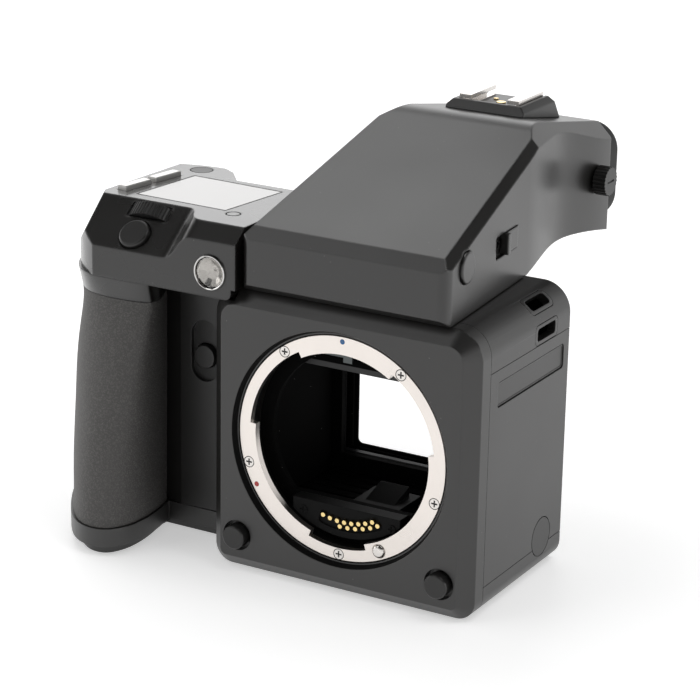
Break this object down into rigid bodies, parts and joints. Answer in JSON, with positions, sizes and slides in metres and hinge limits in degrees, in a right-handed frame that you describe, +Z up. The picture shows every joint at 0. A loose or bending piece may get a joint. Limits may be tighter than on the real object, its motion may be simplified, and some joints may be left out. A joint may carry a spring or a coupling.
{
  "type": "medium format digital camera",
  "caption": "Medium format reflex camera body with open bayonet lens mount, raised mirror, rubber hand grip, control housing and overhanging prism finder",
  "frame": {"origin": "centre of the lens mount on the front face of the mount ring", "axes": "-Y points out of the lens mount along the optical axis, +Y runs to the rear, +X to the right as seen from the front, +Z up"},
  "size_m": [0.1513, 0.1485, 0.1334],
  "materials": {
    "front_grey": "satin, fine grain",
    "side_grey": "satin, fine grain",
    "finder_grey": "satin, fine grain",
    "mount_steel": "fine turned",
    "screw_steel": "polished",
    "gold": "plated",
    "inner_black": "matt",
    "blade_black": "semi-matt",
    "mirror_silver": "front silvered",
    "glass": "polished",
    "screen": "ground",
    "rubber": "fine speckled texture",
    "housing_black": "semi-gloss",
    "black_plastic": "satin",
    "grey_button": "satin",
    "key_silver": "satin",
    "window": "gloss",
    "red_paint": "gloss",
    "blue_paint": "gloss",
    "lamp": "frosted",
    "battery_grey": "satin"
  },
  "bodies": {
    "camera": {"front_plate": "front_grey", "mount_ring": "mount_steel", "mount_screws": "screw_steel", "mount_dot_blue": "blue_paint", "mount_dot_red": "red_paint", "contact_block": "black_plastic", "mirror_box": "inner_black", "focus_sensor": "black_plastic", "focusing_screen": "screen", "screen_clip": "gold", "shutter_frame": "inner_black", "chassis": "inner_black", "rear_frame": "inner_black", "rear_contacts": "gold", "side_cover": "side_grey", "base_cover": "side_grey", "tripod_sockets": "screw_steel", "strap_bezels": "screw_steel", "top_cover": "side_grey", "finder_housing": "finder_grey", "finder_prism": "glass", "eyepiece_lens": "glass", "eyecup": "rubber", "shoe_base": "black_plastic", "shoe_rails": "screw_steel", "shoe_contacts": "gold", "control_housing": "housing_black", "display_window": "window", "lamp_bezel": "black_plastic", "lamp_lens": "lamp", "grip_core": "black_plastic", "grip_rubber": "rubber", "grip_collar": "black_plastic", "grip_foot": "front_grey", "battery": "battery_grey"},
    "lock_pin": {"lock_pin": "screw_steel"},
    "lens_release": {"lens_release_button": "grey_button"},
    "preview": {"preview_button": "grey_button"},
    "contact_pins": {"contact_pins": "gold"},
    "mirror": {"mirror_frame": "inner_black", "main_mirror": "mirror_silver"},
    "submirror": {"submirror": "mirror_silver"},
    "first_a": {"first_blade_a": "blade_black"},
    "first_b": {"first_blade_b": "blade_black"},
    "first_c": {"first_blade_c": "blade_black"},
    "second_a": {"second_blade_a": "blade_black"},
    "second_b": {"second_blade_b": "blade_black"},
    "second_c": {"second_blade_c": "blade_black"},
    "port_cover": {"port_cover": "black_plastic"},
    "dioptre_knob": {"dioptre_knob": "black_plastic"},
    "finder_latch": {"finder_latch": "black_plastic"},
    "finder_button": {"finder_button": "grey_button"},
    "key_front": {"key_front": "key_silver"},
    "key_rear": {"key_rear": "key_silver"},
    "top_button": {"top_button": "black_plastic"},
    "front_dial": {"front_dial": "black_plastic"},
    "rear_dial": {"rear_dial": "black_plastic"},
    "release_button": {"release_button": "key_silver"},
    "side_button": {"side_button": "grey_button"},
    "battery_door": {"battery_door": "front_grey"}
  },
  "joints": [
    {"name": "lens_release_press", "type": "slide", "parent": "camera", "child": "lens_release", "axis": [0, 1, 0], "range_m": [0, 0.0013], "stiffness_N_per_m": 400, "springref_m": -0.0006},
    {"name": "lock_pin_slide", "type": "slide", "parent": "camera", "child": "lock_pin", "axis": [0, 1, 0], "range_m": [0, 0.0016]},
    {"name": "preview_press", "type": "slide", "parent": "camera", "child": "preview", "axis": [0, 1, 0], "range_m": [0, 0.0013], "stiffness_N_per_m": 400, "springref_m": -0.0006},
    {"name": "contact_pins_press", "type": "slide", "parent": "camera", "child": "contact_pins", "axis": [0, 1, 0], "range_m": [0, 0.0007], "stiffness_N_per_m": 400, "springref_m": -0.0006},
    {"name": "mirror_swing", "type": "hinge", "parent": "camera", "child": "mirror", "pos_m": [0, 0.0466, 0.0228], "axis": [1, 0, 0], "range_deg": [0, 45]},
    {"name": "submirror_fold", "type": "hinge", "parent": "mirror", "child": "submirror", "pos_m": [0, 0.026, 0.02085], "axis": [1, 0, 0], "range_deg": [-90, 0]},
    {"name": "first_curtain", "type": "slide", "parent": "camera", "child": "first_a", "axis": [0, 0, 1], "range_m": [0, 0.0435]},
    {"name": "first_middle", "type": "slide", "parent": "camera", "child": "first_b", "axis": [0, 0, 1], "range_m": [0, 0.029]},
    {"name": "first_trailing", "type": "slide", "parent": "camera", "child": "first_c", "axis": [0, 0, 1], "range_m": [0, 0.0145]},
    {"name": "second_curtain", "type": "slide", "parent": "camera", "child": "second_a", "axis": [0, 0, -1], "range_m": [0, 0.0435]},
    {"name": "second_middle", "type": "slide", "parent": "camera", "child": "second_b", "axis": [0, 0, -1], "range_m": [0, 0.029]},
    {"name": "second_trailing", "type": "slide", "parent": "camera", "child": "second_c", "axis": [0, 0, -1], "range_m": [0, 0.0145]},
    {"name": "port_cover_pull", "type": "slide", "parent": "camera", "child": "port_cover", "axis": [1, 0, 0], "range_m": [0, 0.008]},
    {"name": "dioptre_turn", "type": "hinge", "parent": "camera", "child": "dioptre_knob", "pos_m": [0.026, 0.1132, 0.0606], "axis": [1, 0, 0], "range_deg": [-170, 170]},
    {"name": "finder_latch_slide", "type": "slide", "parent": "camera", "child": "finder_latch", "axis": [0.0824, -0.9966, 0], "range_m": [0, 0.0058]},
    {"name": "finder_button_press", "type": "slide", "parent": "camera", "child": "finder_button", "axis": [-0.9966, -0.0824, 0], "range_m": [0, 0.0007], "stiffness_N_per_m": 400, "springref_m": -0.0006},
    {"name": "key_front_press", "type": "slide", "parent": "camera", "child": "key_front", "axis": [0, 0, -1], "range_m": [0, 0.0005], "stiffness_N_per_m": 400, "springref_m": -0.0006},
    {"name": "key_rear_press", "type": "slide", "parent": "camera", "child": "key_rear", "axis": [0, 0, -1], "range_m": [0, 0.0005], "stiffness_N_per_m": 400, "springref_m": -0.0006},
    {"name": "top_button_press", "type": "slide", "parent": "camera", "child": "top_button", "axis": [0, 0, -1], "range_m": [0, 0.0005], "stiffness_N_per_m": 400, "springref_m": -0.0006},
    {"name": "front_dial_turn", "type": "hinge", "parent": "camera", "child": "front_dial", "pos_m": [-0.0724, 0.01424, 0.05198], "axis": [0, 0.7734, 0.634], "continuous": true},
    {"name": "rear_dial_turn", "type": "hinge", "parent": "camera", "child": "rear_dial", "pos_m": [-0.055, 0.0388, 0.0502], "axis": [0, 0, 1], "continuous": true},
    {"name": "release_press", "type": "slide", "parent": "camera", "child": "release_button", "axis": [0, 0.634, -0.7734], "range_m": [0, 0.001], "stiffness_N_per_m": 400, "springref_m": -0.0006},
    {"name": "side_button_press", "type": "slide", "parent": "camera", "child": "side_button", "axis": [0, 1, 0], "range_m": [0, 0.0008], "stiffness_N_per_m": 400, "springref_m": -0.0006},
    {"name": "battery_door_swing", "type": "hinge", "parent": "camera", "child": "battery_door", "pos_m": [-0.0761, 0.0277, -0.0439], "axis": [0, 1, 0], "range_deg": [-90, 0]}
  ],
  "couplings": [
    {"joint": "lock_pin_slide", "follows": "lens_release_press", "ratio": 1.23},
    {"joint": "submirror_fold", "follows": "mirror_swing", "ratio": -2},
    {"joint": "first_middle", "follows": "first_curtain", "ratio": 0.6666},
    {"joint": "first_trailing", "follows": "first_curtain", "ratio": 0.3333},
    {"joint": "second_middle", "follows": "second_curtain", "ratio": 0.6666},
    {"joint": "second_trailing", "follows": "second_curtain", "ratio": 0.3333}
  ]
}
